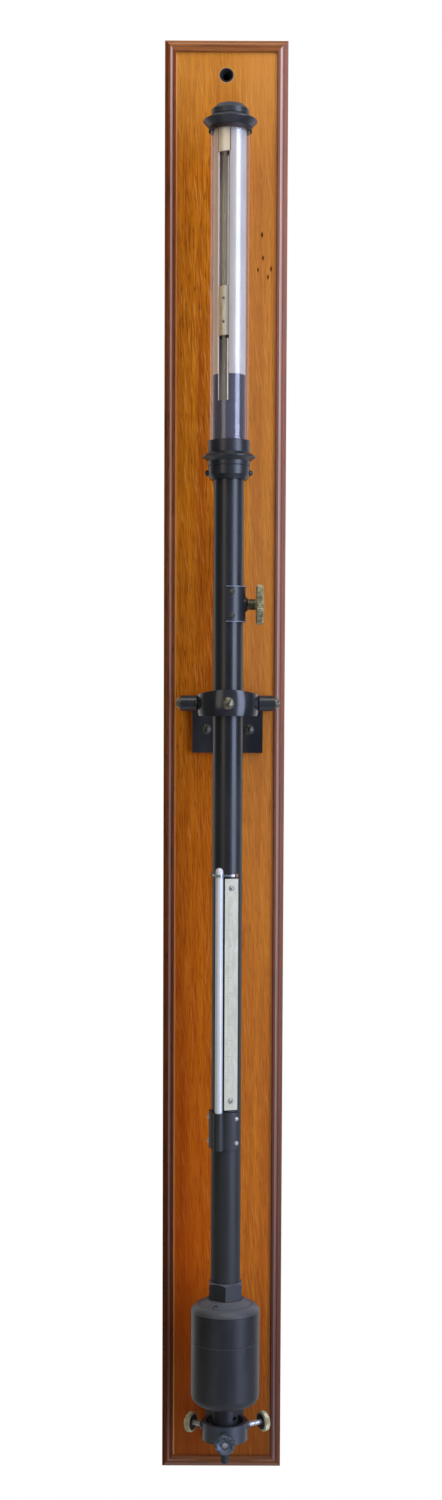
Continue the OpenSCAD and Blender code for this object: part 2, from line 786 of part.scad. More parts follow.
module top_cap() {
    turn = cap_bevel * 0.13;
    neck = cap_neck_h;
    color("#1a1a1c") on_axis(z_cap) rotate_extrude() polygon([
        [0, -1.5], [spigot_r - 3, -1.5], [spigot_r - 3, -neck - spigot_h], [spigot_r, -neck - spigot_h],
        [spigot_r, -neck], [cap_r - 1, -neck], [cap_r - 1, 0], [cap_r, 0], [cap_r, cap_h - cap_bevel - turn],
        [cap_r - turn, cap_h - cap_bevel], [cap_r - cap_bevel, cap_h - turn],
        [cap_r - cap_bevel - turn, cap_h - 0.2], [0, cap_h]
    ]);
}

// Cork that holds the sealed top of the glass tube
module top_cork() {
    length = 14;
    color("#a97c4f") on_axis(z_slot + 2.5) difference() {
        cylinder(r = slide_r, h = length);
        translate([0, 0, -1]) cylinder(r = glass_r + fit, h = length - 4);
    }
}

z_glass_top = z_slot + 2.5 + 14 - 6;

module barometer_tube() {
    bore = glass_r - glass_wall;
    color("#cfe0e0", 0.4) on_axis() rotate_extrude() polygon(concat(
        [[bore, z_glass_foot], [glass_r, z_glass_foot]],
        arc([0, z_glass_top - glass_r], glass_r, 0, 90, 10),
        [[0, z_glass_top - glass_wall]],
        arc([0, z_glass_top - glass_r], bore, 90, 0, 8)
    ));
}

module mercury_column() {
    bore = glass_r - glass_wall - 0.03;
    dome = 1;
    color("#b8bcc0") on_axis() rotate_extrude() polygon(concat(
        [[0, z_glass_foot], [bore, z_glass_foot]],
        [for (a = [0:15:90]) [bore * cos(a), z_zero - dome + dome * sin(a)]]
    ));
}

module guide_corks() {
    below = z_pinion - travel_up - rack_end - travel_down - 20;
    for (z = [below, (below + z_foot) / 2, z_foot + 20])
        color("#a97c4f") on_axis(z - 6) ring(tube_in - fit, glass_r + fit, 12);
}

// Saddle on the right of the main tube that carries the pinion's shaft
module pinion_housing() {
    bead = 1.3;
    color("#1d1d20") difference() {
        union() {
            on_axis(z_pinion - housing_h / 2) linear_extrude(height = housing_h) difference() {
                intersection() {
                    circle(r = housing_r);
                    sector(90 - housing_span, 90 + housing_span, 2 * housing_r);
                }
                circle(r = fitted_r);
            }
            for (z = [-housing_h / 2, housing_h / 2 - bead])
                on_axis(z_pinion + z) linear_extrude(height = bead) difference() {
                    intersection() {
                        circle(r = housing_r + 0.45);
                        sector(90 - housing_span, 90 + housing_span, 2 * housing_r);
                    }
                    circle(r = fitted_r);
                }
            radial(90, 0, z_pinion) {
                translate([0, 0, fitted_r + 0.2]) cylinder(r = 6, h = housing_t + 0.1);
                translate([0, 0, housing_r - 0.4])
                    cylinder(r1 = 6.4, r2 = hub_r + 0.4, h = hub_x - housing_r + 0.4);
                translate([0, 0, tube_in - 1.4]) cylinder(r = window_r - fit, h = tube_wall + 3);
            }
        }
        radial(90, 0, z_pinion) translate([0, 0, tube_in - 3]) cylinder(r = shaft_r + fit, h = 12);
        housing_screw_places() translate([0, 0, -3]) cylinder(r = housing_screw_r + fit, h = 5);
    }
}

module housing_screws() {
    color("#7d7a6e") housing_screw_places()
        screw(housing_screw_r * 2, 1.1, housing_screw_r, housing_t + tube_wall, 35);
}

// Stem and bulb of the attached thermometer, hollow for its mercury
module thermometer() {
    z_bulb = z_guard - 4;
    bulb_h = guard_h - 7;
    color("#e6eaee") radial(front_turn, stem_off, 0) rotate([-90, 0, 0]) rotate_extrude() polygon(concat(
        [[0, z_bulb - bulb_h]],
        arc([0, z_bulb - bulb_h + bulb_r], bulb_r, -60, 0, 4),
        [[bulb_r, z_bulb - 1.5], [stem_r, z_bulb + 0.5]],
        arc([0, z_stem - stem_r], stem_r, 0, 90, 8),
        [[0, z_stem - 9], [thread_bore, z_stem - 9.5], [thread_bore, z_bulb - 2], [bulb_r - 0.8, z_bulb - 3],
         [bulb_r - 0.8, z_bulb - bulb_h + 2.5], [0, z_bulb - bulb_h + 1.5]]
    ));
}

module thermometer_mercury() {
    z_bulb = z_guard - 4;
    bulb_h = guard_h - 7;
    r = bulb_r - 0.83;
    color("#b8bcc0") radial(front_turn, stem_off, 0) rotate([-90, 0, 0]) rotate_extrude() polygon([
        [0, z_bulb - bulb_h + 1.6], [r, z_bulb - bulb_h + 2.6], [r, z_bulb - 3.1],
        [thread_bore - 0.03, z_bulb - 2.1], [thread_bore - 0.03, z_therm - therm_len * 0.45],
        [0, z_therm - therm_len * 0.45]
    ]);
}

module thermometer_plate() {
    color("#c8ccc4") difference() {
        on_axis(z_therm_low) rotate([0, 0, therm_az])
            translate([-therm_w / 2, -therm_y - therm_t, 0]) cube([therm_w, therm_t, therm_len]);
        plate_screw_places() tap(fix_r, therm_t + 1);
    }
}

// Two blocks that seat the flat plate on the round tube
module plate_pads() {
    half = therm_w * 0.36;
    color("#8d8468") for (z = [z_therm - therm_screw_in, z_therm_low + therm_screw_in]) difference() {
        on_axis(z - 4.5) rotate([0, 0, therm_az]) translate([-half, -therm_y, 0]) cube([2 * half, 4, 9]);
        on_axis(z - 6) cylinder(r = fitted_r, h = 12);
        radial(therm_az, therm_y + 1, z) tap(fix_r, 4);
    }
}

module plate_screws() {
    color("#9b9b94") plate_screw_places() screw(2.2, 1.7, fix_r, therm_t + 1.6, 70);
}

// Flat outline round the tube and over the stem, thick from clearance c to c + t
module over_stem(c, t) {
    difference() {
        union() {
            circle(r = tube_r + c + t);
            rotate(front_turn) translate([0, -stem_off]) circle(r = stem_r + c + t);
        }
        circle(r = tube_r + c);
        rotate(front_turn) translate([0, -stem_off]) circle(r = stem_r + c);
    }
}

module stem_strap() {
    color("#b9b9b2") difference() {
        on_axis(z_strap - strap_h / 2) linear_extrude(height = strap_h) intersection() {
            over_stem(fit, strap_t);
            sector(front_turn - screw_spread - 9, front_turn + screw_spread + 9, 30);
        }
        strap_screw_places() translate([0, 0, -2]) cylinder(r = min(fix_r, strap_h / 2 - 0.2) + fit, h = 4);
    }
}

module strap_screws() {
    shank = min(fix_r, strap_h / 2 - 0.2);
    color("#9a5a3a") strap_screw_places() screw(1.7, 1.2, shank, strap_t + tube_wall, 10);
}

// Saddle with a hump over the bulb, closed below
module bulb_guard() {
    color("#1d1d20") difference() {
        on_axis(z_guard - guard_h) linear_extrude(height = guard_h) intersection() {
            difference() {
                union() {
                    circle(r = fitted_r + guard_t);
                    rotate(front_turn) translate([0, -stem_off]) circle(r = hump_r);
                }
                circle(r = fitted_r);
            }
            sector(front_turn - guard_span, front_turn + guard_span, 40);
        }
        radial(front_turn, stem_off, z_guard) rotate([-90, 0, 0]) {
            translate([0, 0, -guard_h + 1.5]) cylinder(r = bulb_r + 0.2, h = guard_h + 1);
        }
        guard_screw_places() translate([0, 0, -guard_t - 1]) cylinder(r = fix_r + fit, h = guard_t + 3);
    }
}

module guard_screws() {
    color("#a8a8a0") guard_screw_places() screw(1.9, 1.3, fix_r, guard_t + tube_wall, 60);
}

// Hexagon that takes the foot of the main tube and screws into the cistern's top
module hex_union() {
    color("#1d1d20") difference() {
        union() {
            on_axis(z_hex) intersection() {
                rotate([0, 0, 90]) cylinder(r = hex_r, h = hex_h, $fn = 6);
                rotate_extrude() polygon([
                    [0, 0], [hex_r - 0.8, 0], [hex_r + 0.2, 0.9], [hex_r + 0.2, hex_h - 1.6],
                    [hex_flat / 2 - 0.6, hex_h], [0, hex_h]
                ]);
            }
            on_axis(z_hex - union_spigot_h) cylinder(r = union_spigot_r, h = union_spigot_h + 1);
        }
        on_axis(z_foot) cylinder(r = fitted_r, h = hex_seat + 1);
        on_axis(z_hex - union_spigot_h - 1) cylinder(r = glass_r + 0.6, h = hex_h + union_spigot_h + 2);
        on_axis(z_hex - union_spigot_h - 1) cylinder(r = packing_r, h = packing_h + 1);
    }
}

module gland_packing() {
    color("#6b4226") on_axis(z_hex - union_spigot_h) ring(packing_r - fit, glass_r + fit, packing_h);
}

// Upper half of the cistern: raised shoulder, lid and the skirt of the screwed joint
module cistern_top() {
    h = shoulder_h;
    side = cist_top_h;
    color("#26262a") difference() {
        on_axis(z_rim) rotate_extrude() polygon(concat(
            [[union_spigot_r + fit, h], [hex_r - 0.4, h], [hex_r, h - 0.4]],
            arc([cist_r - 8.9, h - 13], 9.6, 77, 25, 7),
            [[cist_r, h - 9.1], [cist_r, -side],
             [joint_r + fit, -side], [joint_r + fit, -side + joint_h + gasket_t],
             [cist_in, -side + joint_h + gasket_t], [cist_in, z_ceiling - z_rim],
             [union_spigot_r + fit, z_ceiling - z_rim]]
        ));
        vent_place() {
            translate([0, 0, -lid_t - 6]) cylinder(r = vent_r + fit, h = lid_t + 8);
            cylinder(r = vent_r * 1.7 + 2 * fit, h = 5);
        }
    }
}

module vent_place() {
    r = cist_r - 7.8;
    on_axis(z_rim + shoulder_h - 3.3) translate([r * sin(vent_turn), -r * cos(vent_turn), 0]) children();
}

module vent_screw() {
    color("#3a3a3c") vent_place() screw(vent_r * 1.7, 1.1, vent_r, lid_t - 3, 25);
}

module cistern_gasket() {
    color("#5a3320") on_axis(z_seam + joint_h) ring(joint_r, cist_in, gasket_t);
}

module cistern_body() {
    h = cist_low_h;
    r = cist_round;
    color("#26262a") on_axis(z_cist) rotate_extrude() polygon(concat(
        [[neck_r * 0.75 + fit, 0]],
        arc([cist_r - r, r], r, -90, 0, 8),
        [[cist_r, h - 0.6], [cist_r - 0.5, h - run_gap], [joint_r, h - run_gap], [joint_r, h + joint_h],
         [cist_in, h + joint_h], [cist_in, floor_t], [neck_r * 0.75 + fit, floor_t]]
    ));
}

module cistern_mercury() {
    clear = 0.03;
    color("#b8bcc0") difference() {
        on_axis(z_floor + clear) cylinder(r = cist_in - clear, h = mercury_fill);
        on_axis(z_glass_foot) cylinder(r = glass_r + clear, h = mercury_fill);
    }
}

// Plug in the cistern's floor, with the neck that the centring ring surrounds
module base_plug() {
    color("#1d1d20") difference() {
        on_axis(z_cist) rotate_extrude() polygon([
            [0, -neck_len - tail_len], [tail_r - 0.8, -neck_len - tail_len],
            [tail_r, -neck_len - tail_len + 0.8], [tail_r, -neck_len], [neck_r - 1, -neck_len],
            [neck_r, -neck_len + 1], [neck_r, -neck_gap - 0.5], [neck_r - 0.5, -neck_gap],
            [neck_r * 0.75, -neck_gap], [neck_r * 0.75, floor_t - 0.2], [0, floor_t - 0.2]
        ]);
        radial(tommy_turn, neck_r - 7, z_steady + steady_h / 2 + 3) cylinder(r = tommy_r, h = 8);
    }
}

// Short tube that slides in the scale tube and carries the vernier plate
module vernier_slide() {
    color("#a5925a") difference() {
        union() {
            on_axis(z_zero) ring(slide_r, slide_in, vernier_h);
            on_axis(z_lug) linear_extrude(height = lug_h) intersection() {
                circle(r = slide_in + 0.3);
                translate([rack_x, pitch_r - 0.4]) square([slide_r, 3]);
            }
        }
        on_axis(z_lug - 1) translate([rack_x + rack_w / 2, rack_back - rack_t, 0])
            cylinder(r = 0.55 + fit, h = lug_h + 2);
        vernier_screw_places() translate([0, 0, -3]) cylinder(r = vernier_screw_r + fit, h = 5);
    }
}

module vernier_screw_places() {
    for (part = [0.27, 0.75])
        radial(front_turn, vernier_r, z_zero + vernier_h * part) children();
}

module vernier_plate() {
    color("#c9bf9a") difference() {
        on_axis(z_zero) rotate([0, 0, front_turn]) linear_extrude(height = vernier_h) intersection() {
            difference() {
                circle(r = vernier_r);
                circle(r = slide_r + 0.01);
            }
            translate([-vernier_w / 2, -tube_r]) square([vernier_w, tube_r]);
        }
        vernier_screw_places() translate([0, 0, -3]) cylinder(r = vernier_screw_r + fit, h = 5);
    }
}

module vernier_screws() {
    color("#6e6245") vernier_screw_places()
        screw(1.1, 0.5, vernier_screw_r, vernier_r - slide_in, 20);
}

// Tooth flanks of the rack, counted from the middle of a gap at the pinion's height
module rack() {
    half = pitch / 4 - tooth_play / 2;
    tip = half - addendum * tan(20);
    root = half + dedendum * tan(20);
    low = -travel_up - rack_end;
    high = travel_down + rack_end;
    first = ceil(low / pitch);
    last = floor(high / pitch) - 1;
    z_end = z_lug - z_pinion;
    color("#8f7f4c") difference() {
        on_axis(z_pinion) translate([rack_x, 0, 0]) rotate([90, 0, 90])
            linear_extrude(height = rack_w) polygon(concat(
            [[rack_back, z_end], [rack_back, low - pitch], [pitch_r + dedendum, low - pitch]],
            [for (k = [first:last]) let (z = (k + 0.5) * pitch) each [
                [pitch_r + dedendum, z - root], [pitch_r - addendum, z - tip],
                [pitch_r - addendum, z + tip], [pitch_r + dedendum, z + root]
            ]],
            [[pitch_r + dedendum, z_end]]
        ));
        on_axis(z_lug - 4) translate([rack_x + rack_w / 2, rack_back - rack_t, 0])
            cylinder(r = 0.55 + fit, h = 5);
    }
}

module rack_screw() {
    color("#6e6245") on_axis(z_lug + lug_h) translate([rack_x + rack_w / 2, rack_back - rack_t, 0])
        screw(1.1, 0.7, 0.55, lug_h + 3, 0);
}

// Straight-flanked pinion with a tooth towards the rack at rest, on its shaft
module pinion() {
    half = 90 / pinion_teeth - tooth_play / 2 / pitch_r * 180 / PI;
    tip = half * 0.45;
    root = half * 1.45;
    root_r = pitch_r - dedendum;
    color("#8a8d90") radial(90, 0, z_pinion) {
        translate([0, 0, pinion_x]) linear_extrude(height = pinion_len) polygon([
            for (k = [0:pinion_teeth - 1]) let (a = 360 * k / pinion_teeth) each [
                root_r * [cos(a - root), sin(a - root)], pitch_r * [cos(a - half), sin(a - half)],
                pinion_r * [cos(a - tip), sin(a - tip)], pinion_r * [cos(a + tip), sin(a + tip)],
                pitch_r * [cos(a + half), sin(a + half)], root_r * [cos(a + root), sin(a + root)]
            ]
        ]);
        translate([0, 0, pinion_x + 0.2]) cylinder(r = shaft_r, h = knob_off + knob_t - pinion_x - 1.4);
    }
}

// Round disc with a milled edge between two plain bevels, standing on z = 0
module milled_disc(r, t, teeth, depth) {
    bevel = t * 0.16;
    translate([0, 0, bevel - eps]) linear_extrude(height = t - 2 * bevel + 2 * eps) polygon([
        for (k = [0:teeth - 1]) let (a = 360 * k / teeth) each [
            r * [cos(a), sin(a)], (r - depth) * [cos(a + 180 / teeth), sin(a + 180 / teeth)]
        ]
    ]);
    cylinder(r1 = r - depth - bevel, r2 = r - depth, h = bevel);
    translate([0, 0, t - bevel]) cylinder(r1 = r - depth, r2 = r - depth - bevel, h = bevel);
}

module milled_knob() {
    color("#a9a583") radial(90, 0, z_pinion) difference() {
        union() {
            translate([0, 0, hub_x + run_gap]) cylinder(r = hub_r, h = knob_off - hub_x);
            translate([0, 0, knob_off]) milled_disc(knob_r, knob_t, 72, 0.5);
        }
        translate([0, 0, hub_x - 1]) cylinder(r = shaft_r + fit, h = knob_off + knob_t);
        translate([0, 0, knob_off + knob_t - 0.8]) cylinder(r = knob_r * 0.62, h = 2);
    }
}

// Steel screw of the centring ring, from its tip to the face of its head
module steady_screw(s) {
    length = steady_screw_len + steady_head_t / 2 - 0.4;
    color("#9c9ea2") radial(s[1], s[2], z_steady) {
        cylinder(r1 = steady_screw_r * 0.7, r2 = steady_screw_r, h = 0.8);
        translate([0, 0, 0.8 - eps]) cylinder(r = steady_screw_r, h = length - 0.8 + eps);
    }
}

// Dished brass head of a centring screw
module steady_head(s) {
    color("#b0a878") radial(s[1], s[2] + steady_screw_len - steady_head_t / 2, z_steady) difference() {
        milled_disc(steady_head_r, steady_head_t, 48, 0.35);
        translate([0, 0, -1]) cylinder(r = steady_screw_r + fit, h = steady_head_t + 2);
        translate([0, 0, steady_head_t - 1])
            cylinder(r1 = steady_head_r * 0.5, r2 = steady_head_r * 0.72, h = 1 + eps);
    }
}

module left_screw() { steady_screw(steady_screws[0]); }
module left_head() { steady_head(steady_screws[0]); }
module right_screw() { steady_screw(steady_screws[1]); }
module right_head() { steady_head(steady_screws[1]); }
module front_screw() { steady_screw(steady_screws[2]); }
module front_head() { steady_head(steady_screws[2]); }

backboard();
moulding_left();
moulding_right();
moulding_top();
moulding_bottom();
hanging_bush();
gimbal_bracket();
bracket_screws();
trunnion_screws();
centring_bracket();
centring_bracket_screws();
gimbal_ring();
ring_pivot_screws();
suspension_collar();
main_tube();
tube_socket();
socket_screws();
shade_cup();
shade_washer();
scale_tube();
glass_shade();
shade_seal();
cap_ring();
top_cap();
top_cork();
barometer_tube();
mercury_column();
guide_corks();
pinion_housing();
housing_screws();
thermometer();
thermometer_mercury();
thermometer_plate();
plate_pads();
plate_screws();
stem_strap();
strap_screws();
bulb_guard();
guard_screws();
hex_union();
gland_packing();
cistern_top();
vent_screw();
cistern_gasket();
cistern_body();
cistern_mercury();
base_plug();
vernier_slide();
vernier_plate();
vernier_screws();
rack();
rack_screw();
pinion();
milled_knob();
left_screw();
left_head();
right_screw();
right_head();
front_screw();
front_head();
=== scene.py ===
"""Looks of a mercury stick barometer on its oak board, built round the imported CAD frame."""

import json
import math

import bpy
import numpy as np
from mathutils import Matrix, Vector


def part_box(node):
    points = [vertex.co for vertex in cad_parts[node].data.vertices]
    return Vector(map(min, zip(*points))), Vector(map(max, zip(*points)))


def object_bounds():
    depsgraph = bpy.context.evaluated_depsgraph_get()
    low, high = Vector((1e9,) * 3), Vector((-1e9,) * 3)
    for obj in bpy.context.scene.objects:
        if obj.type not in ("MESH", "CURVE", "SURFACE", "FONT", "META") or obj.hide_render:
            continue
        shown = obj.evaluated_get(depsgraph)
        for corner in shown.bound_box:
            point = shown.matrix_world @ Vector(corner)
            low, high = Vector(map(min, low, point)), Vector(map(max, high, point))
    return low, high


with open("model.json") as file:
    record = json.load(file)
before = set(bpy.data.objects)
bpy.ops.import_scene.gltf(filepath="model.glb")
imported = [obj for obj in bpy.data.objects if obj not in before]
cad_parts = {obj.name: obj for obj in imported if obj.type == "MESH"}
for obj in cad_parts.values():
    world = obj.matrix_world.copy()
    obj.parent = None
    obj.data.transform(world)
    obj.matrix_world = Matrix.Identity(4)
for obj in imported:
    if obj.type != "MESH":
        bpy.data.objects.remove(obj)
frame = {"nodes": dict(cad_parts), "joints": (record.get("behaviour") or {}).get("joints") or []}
size_before = [[float(v) for v in corner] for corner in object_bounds()]
nodes = frame["nodes"]

# Stage: a plain pale floor well below the hanging board, in a soft grey room with a white
# backdrop behind the board. The camera, gloss and glass see the backdrop as plain white.


def linear(hex_colour):
    """Turns an sRGB hex colour into linear RGBA."""
    parts = [int(hex_colour[i : i + 2], 16) / 255 for i in (1, 3, 5)]
    return [p / 12.92 if p <= 0.04045 else ((p + 0.055) / 1.055) ** 2.4 for p in parts] + [1.0]


def adder(tree):
    """Returns the function that adds a node to a tree, sets or links its inputs and returns its outputs."""

    def add(kind, inputs=None, **settings):
        made = tree.nodes.new("ShaderNode" + kind)
        for key, value in settings.items():
            setattr(made, key, value)
        for key, value in (inputs or {}).items():
            if isinstance(value, bpy.types.NodeSocket):
                tree.links.new(value, made.inputs[key])
            else:
                made.inputs[key].default_value = value
        return made.outputs

    return add


def new_material(name):
    """Returns the adding function of an empty material and a function that ends it with a shader."""
    material = bpy.data.materials.new(name)
    material.use_nodes = True
    material.node_tree.nodes.clear()
    add = adder(material.node_tree)

    def end(shader):
        add("OutputMaterial", {"Surface": shader})
        return material

    return add, end


room_light = 0.34
room_in_gloss = 0.11
world = bpy.data.worlds.new("soft_room")
world.use_nodes = True
world.node_tree.nodes.clear()
add = adder(world.node_tree)
ray = add("LightPath")
in_gloss = add("Math", {0: ray["Is Glossy Ray"], 1: ray["Is Transmission Ray"]}, operation="MAXIMUM")[0]
direction = add("SeparateXYZ", {0: add("TexCoord")["Generated"]})
behind_board = add("MapRange", {0: direction[1], 1: 0.25, 2: 0.7})[0]
backdrop_in_gloss = add("Math", {0: in_gloss, 1: behind_board}, operation="MULTIPLY")[0]
white_seen = add("Math", {0: ray["Is Camera Ray"], 1: backdrop_in_gloss}, operation="MAXIMUM")[0]
room_level = add("MapRange", {0: in_gloss, 1: 0.0, 2: 1.0, 3: room_light, 4: room_in_gloss})[0]
room = add("Background", {"Color": linear("#f4f1ec"), "Strength": room_level})[0]
white = add("Background", {"Color": linear("#ffffff"), "Strength": 1.0})[0]
add("OutputWorld", {"Surface": add("MixShader", {0: white_seen, 1: room, 2: white})[0]})
bpy.context.scene.world = world

reach = 0.7
floor_drop = 0.36
level = size_before[0][2] - floor_drop
corners = [(-reach, -reach), (reach, -reach), (reach, reach), (-reach, reach)]
floor_mesh = bpy.data.meshes.new("floor")
floor_mesh.from_pydata([(x, y, level) for x, y in corners], [], [(0, 1, 2, 3)])
floor = bpy.data.objects.new("floor", floor_mesh)
bpy.context.scene.collection.objects.link(floor)
add, end = new_material("pale_floor")
matt = add("BsdfPrincipled", {"Base Color": linear("#f1f0ee"), "Roughness": 0.9})[0]
floor_mesh.materials.append(end(matt))

# Wall spot: a dark disc close behind the hanging hole, for the shadowed wall that is seen
# through it. It is a little wider than the hole, and clear from behind.

spot_radius = 0.0062
spot_gap = 0.0004
spot_sides = 24
wall_spot_mesh = bpy.data.meshes.new("wall_spot")
turn = np.linspace(0, 2 * np.pi, spot_sides, endpoint=False)
rim = np.column_stack(
    [spot_radius * np.cos(turn), np.full(spot_sides, spot_gap), spot_radius * np.sin(turn)]
)
wall_spot_mesh.from_pydata(rim.tolist(), [], [tuple(range(spot_sides))])
wall_spot = bpy.data.objects.new("wall_spot", wall_spot_mesh)
bpy.context.scene.collection.objects.link(wall_spot)
add, end = new_material("shadowed_wall")
dim = add("BsdfDiffuse", {"Color": linear("#1b1c22")})[0]
unseen = add("BsdfTransparent")[0]
from_behind = add("NewGeometry")["Backfacing"]
wall_spot_mesh.materials.append(end(add("MixShader", {0: from_behind, 1: dim, 2: unseen})[0]))

# Lamps: a tall window to the right in front, which draws the long highlight down the tubes,
# a weak fill from the left and a broad soft lamp from above.


def lamp(name, place, target, width, height, watts, colour):
    """Adds an area lamp at a place, aimed at a target."""
    data = bpy.data.lights.new(name, "AREA")
    data.shape = "RECTANGLE"
    data.size = width
    data.size_y = height
    data.energy = watts
    data.color = linear(colour)[:3]
    made = bpy.data.objects.new(name, data)
    bpy.context.scene.collection.objects.link(made)
    made.location = place
    made.rotation_euler = (Vector(target) - Vector(place)).to_track_quat("-Z", "Y").to_euler()
    made.visible_camera = False


window_place = (1.79, -1.51, -0.35)
fill_place = (-1.25, -1.95, 0.0)
ceiling_place = (0.3, -1.0, 1.3)
lamp("window", window_place, (0, -0.06, -0.5), width=1.1, height=2.8, watts=76, colour="#cddbff")
lamp("fill", fill_place, (0, -0.06, -0.45), width=0.9, height=1.8, watts=8, colour="#fff2e4")
lamp("ceiling", ceiling_place, (0, 0, -0.35), width=1.4, height=1.0, watts=17, colour="#fffaf2")

# Camera: where the perspective of the board and of the instrument puts it, 1.5 m in front of
# the tube, with a small vertical shift. The picture is upright, so its height sets the lens.

picture_height_px = 1500
focal_length_px = 1995.9
shift_px = 85.6
film_height_mm = 24
camera_place = (-0.0043, -1.571, -0.478)
yaw = math.radians(0.084)
pitch = math.radians(3.794)
roll = math.radians(0.230)
camera = bpy.data.objects.new("camera", bpy.data.cameras.new("camera"))
bpy.context.scene.collection.objects.link(camera)
bpy.context.scene.camera = camera
ahead = Vector((math.sin(yaw) * math.cos(pitch), math.cos(yaw) * math.cos(pitch), -math.sin(pitch)))
level_right = Vector((math.cos(yaw), -math.sin(yaw), 0))
level_up = level_right.cross(ahead)
right = math.cos(roll) * level_right + math.sin(roll) * level_up
up = math.cos(roll) * level_up - math.sin(roll) * level_right
turned_ahead = Matrix((right, up, -ahead)).transposed().to_4x4()
camera.matrix_world = Matrix.Translation(camera_place) @ turned_ahead
camera.data.sensor_fit = "VERTICAL"
camera.data.sensor_height = film_height_mm
camera.data.lens = film_height_mm * focal_length_px / picture_height_px
camera.data.shift_y = shift_px / picture_height_px

# Panel: quarter-sawn oak, planed and finished with an oil varnish that has darkened. Long streaks
# and short dark pores run down it, and its tone drifts darker and redder towards the foot, partly
# from the varnish and partly as painted shade, on the lower left and at the foot. A painted sheen lies
# on the right, the top is painted lighter, and a painted highlight runs beside the mouldings. Oak's
# pores are about 0.3 mm wide, too fine to show here, so they are drawn 0.7 mm wide.


def dress(material, *names):
    """Gives CAD nodes a material."""
    for name in names:
        mesh = nodes[name].data
        mesh.materials.clear()
        mesh.materials.append(material)


def stained(add, colour, *stains):
    """Lays stains over a colour in turn, each of them as strong as the product of its strengths."""
    for stain, strength, *others in stains:
        for other in others:
            strength = add("Math", {0: strength, 1: other}, operation="MULTIPLY")[0]
        colour = add("Mix", {0: strength, 6: colour, 7: linear(stain)}, data_type="RGBA")[2]
    return colour


def uneven(add, place, size, detail=3.0, rough=0.55):
    """Noise from 0 to 1 in patches of a real size, in millimetres along X, Y and Z."""
    scaled = add("Mapping", {"Vector": place, "Scale": [1000 / side for side in size]})[0]
    return add("TexNoise", {"Vector": scaled, "Scale": 1.0, "Detail": detail, "Roughness": rough})[0]


def near(add, place, x, z, radius, soft, tall=1.0):
    """One inside an oval round (x, z) in the board's plane, in metres, falling to zero outside."""
    flat = add("VectorMath", {0: place, 1: (1, 0, 1 / tall)}, operation="MULTIPLY")[0]
    gap = add("VectorMath", {0: flat, 1: (x, 0, z / tall)}, operation="DISTANCE")[1]
    return add("MapRange", {0: gap, 1: radius, 2: radius + soft, 3: 1.0, 4: 0.0})[0]


def grain(add, place, light, deep, dark):
    """Colour and pores of a wood with its grain along Z, swaying sideways by up to 6 mm."""
    sway = uneven(add, place, (60, 60, 260), 2.0)
    sway = add("VectorMath", {0: sway, 1: (0.006, 0.0, 0.0)}, operation="MULTIPLY")[0]
    swayed = add("VectorMath", {0: place, 1: sway}, operation="ADD")[0]
    tone = uneven(add, swayed, (9, 9, 380))
    figure = uneven(add, swayed, (2.4, 2.4, 110), 4.0, 0.6)
    streak = uneven(add, swayed, (1.0, 1.0, 34), 3.0, 0.6)
    pore = uneven(add, swayed, (0.7, 0.7, 12), 2.0, 0.5)
    pores = add("MapRange", {0: pore, 1: 0.58, 2: 0.7})[0]
    colour = stained(
        add,
        linear(deep),
        (light, add("MapRange", {0: tone, 1: 0.3, 2: 0.7})[0]),
        (deep, add("MapRange", {0: figure, 1: 0.46, 2: 0.7, 4: 0.6})[0]),
        (dark, add("MapRange", {0: streak, 1: 0.5, 2: 0.72, 4: 0.75})[0]),
        (dark, pores, 0.75),
    )
    return colour, pores


def varnished(add, end, colour, pores, place, shine, coat):
    """Ends a wood with pores that dent its varnish a little and a slow ripple in it."""
    ripple = uneven(add, place, (9, 9, 34), 2.0)
    height = add("Math", {0: ripple, 1: pores}, operation="SUBTRACT")[0]
    bump = add("Bump", {"Height": height, "Strength": 0.25, "Distance": 0.00012})[0]
    patch = uneven(add, place, (7, 7, 55), 2.0)
    wood = add(
        "BsdfPrincipled",
        {
            "Base Color": colour,
            "Roughness": add("MapRange", {0: patch, 1: 0.3, 2: 0.7, 3: 0.46, 4: 0.6})[0],
            "Normal": bump,
            "Specular IOR Level": shine,
            "Coat Weight": coat,
            "Coat Roughness": 0.22,
        },
    )[0]
    return end(wood)


panel_edge = float(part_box("moulding_right")[0][0])
painted_panel_edge_light_width = 0.0016
fleck_lean = math.radians(7)
add, end = new_material("varnished_oak")
place = add("TexCoord")["Object"]
sideways = add("SeparateXYZ", {0: place})[0]
height = add("SeparateXYZ", {0: place})[2]
colour, pores = grain(add, place, "#c87a12", "#9c4d05", "#4a2004")
leaning = add("Mapping", {"Vector": place, "Rotation": (0, fleck_lean, 0)})[0]
fleck = uneven(add, leaning, (1.1, 1.1, 20), 2.0)
off_middle = add("Math", {0: sideways}, operation="ABSOLUTE")[0]
pale_fleck = add("MapRange", {0: fleck, 1: 0.56, 2: 0.7, 4: 0.35})[0]
dark_fleck = add("MapRange", {0: fleck, 1: 0.44, 2: 0.3, 4: 0.35})[0]
# Painted sheen: the right of the panel is paler, less so towards the foot.
painted_sheen_right = add("MapRange", {0: sideways, 1: 0.004, 2: 0.02, 4: 0.4})[0]
sheen_less_at_foot = add("MapRange", {0: height, 1: -1.0, 2: -0.5, 3: 0.3, 4: 1.0})[0]
# Painted light: the top of the panel is lighter.
painted_light_top = add("MapRange", {0: height, 1: -0.07, 2: 0.0, 4: 0.4})[0]
# Darker and redder below on the left: partly aged varnish, partly painted shade.
aged_and_shaded_below = add("MapRange", {0: height, 1: -0.25, 2: -0.95, 4: 0.6})[0]
shade_more_on_left = add("MapRange", {0: sideways, 1: 0.012, 2: -0.02})[0]
reddened_below = add("MapRange", {0: height, 1: -0.35, 2: -0.9, 4: 0.25})[0]
# Painted shade at the foot of the panel.
painted_shade_foot = add("MapRange", {0: height, 1: -0.92, 2: -1.07, 4: 0.6})[0]
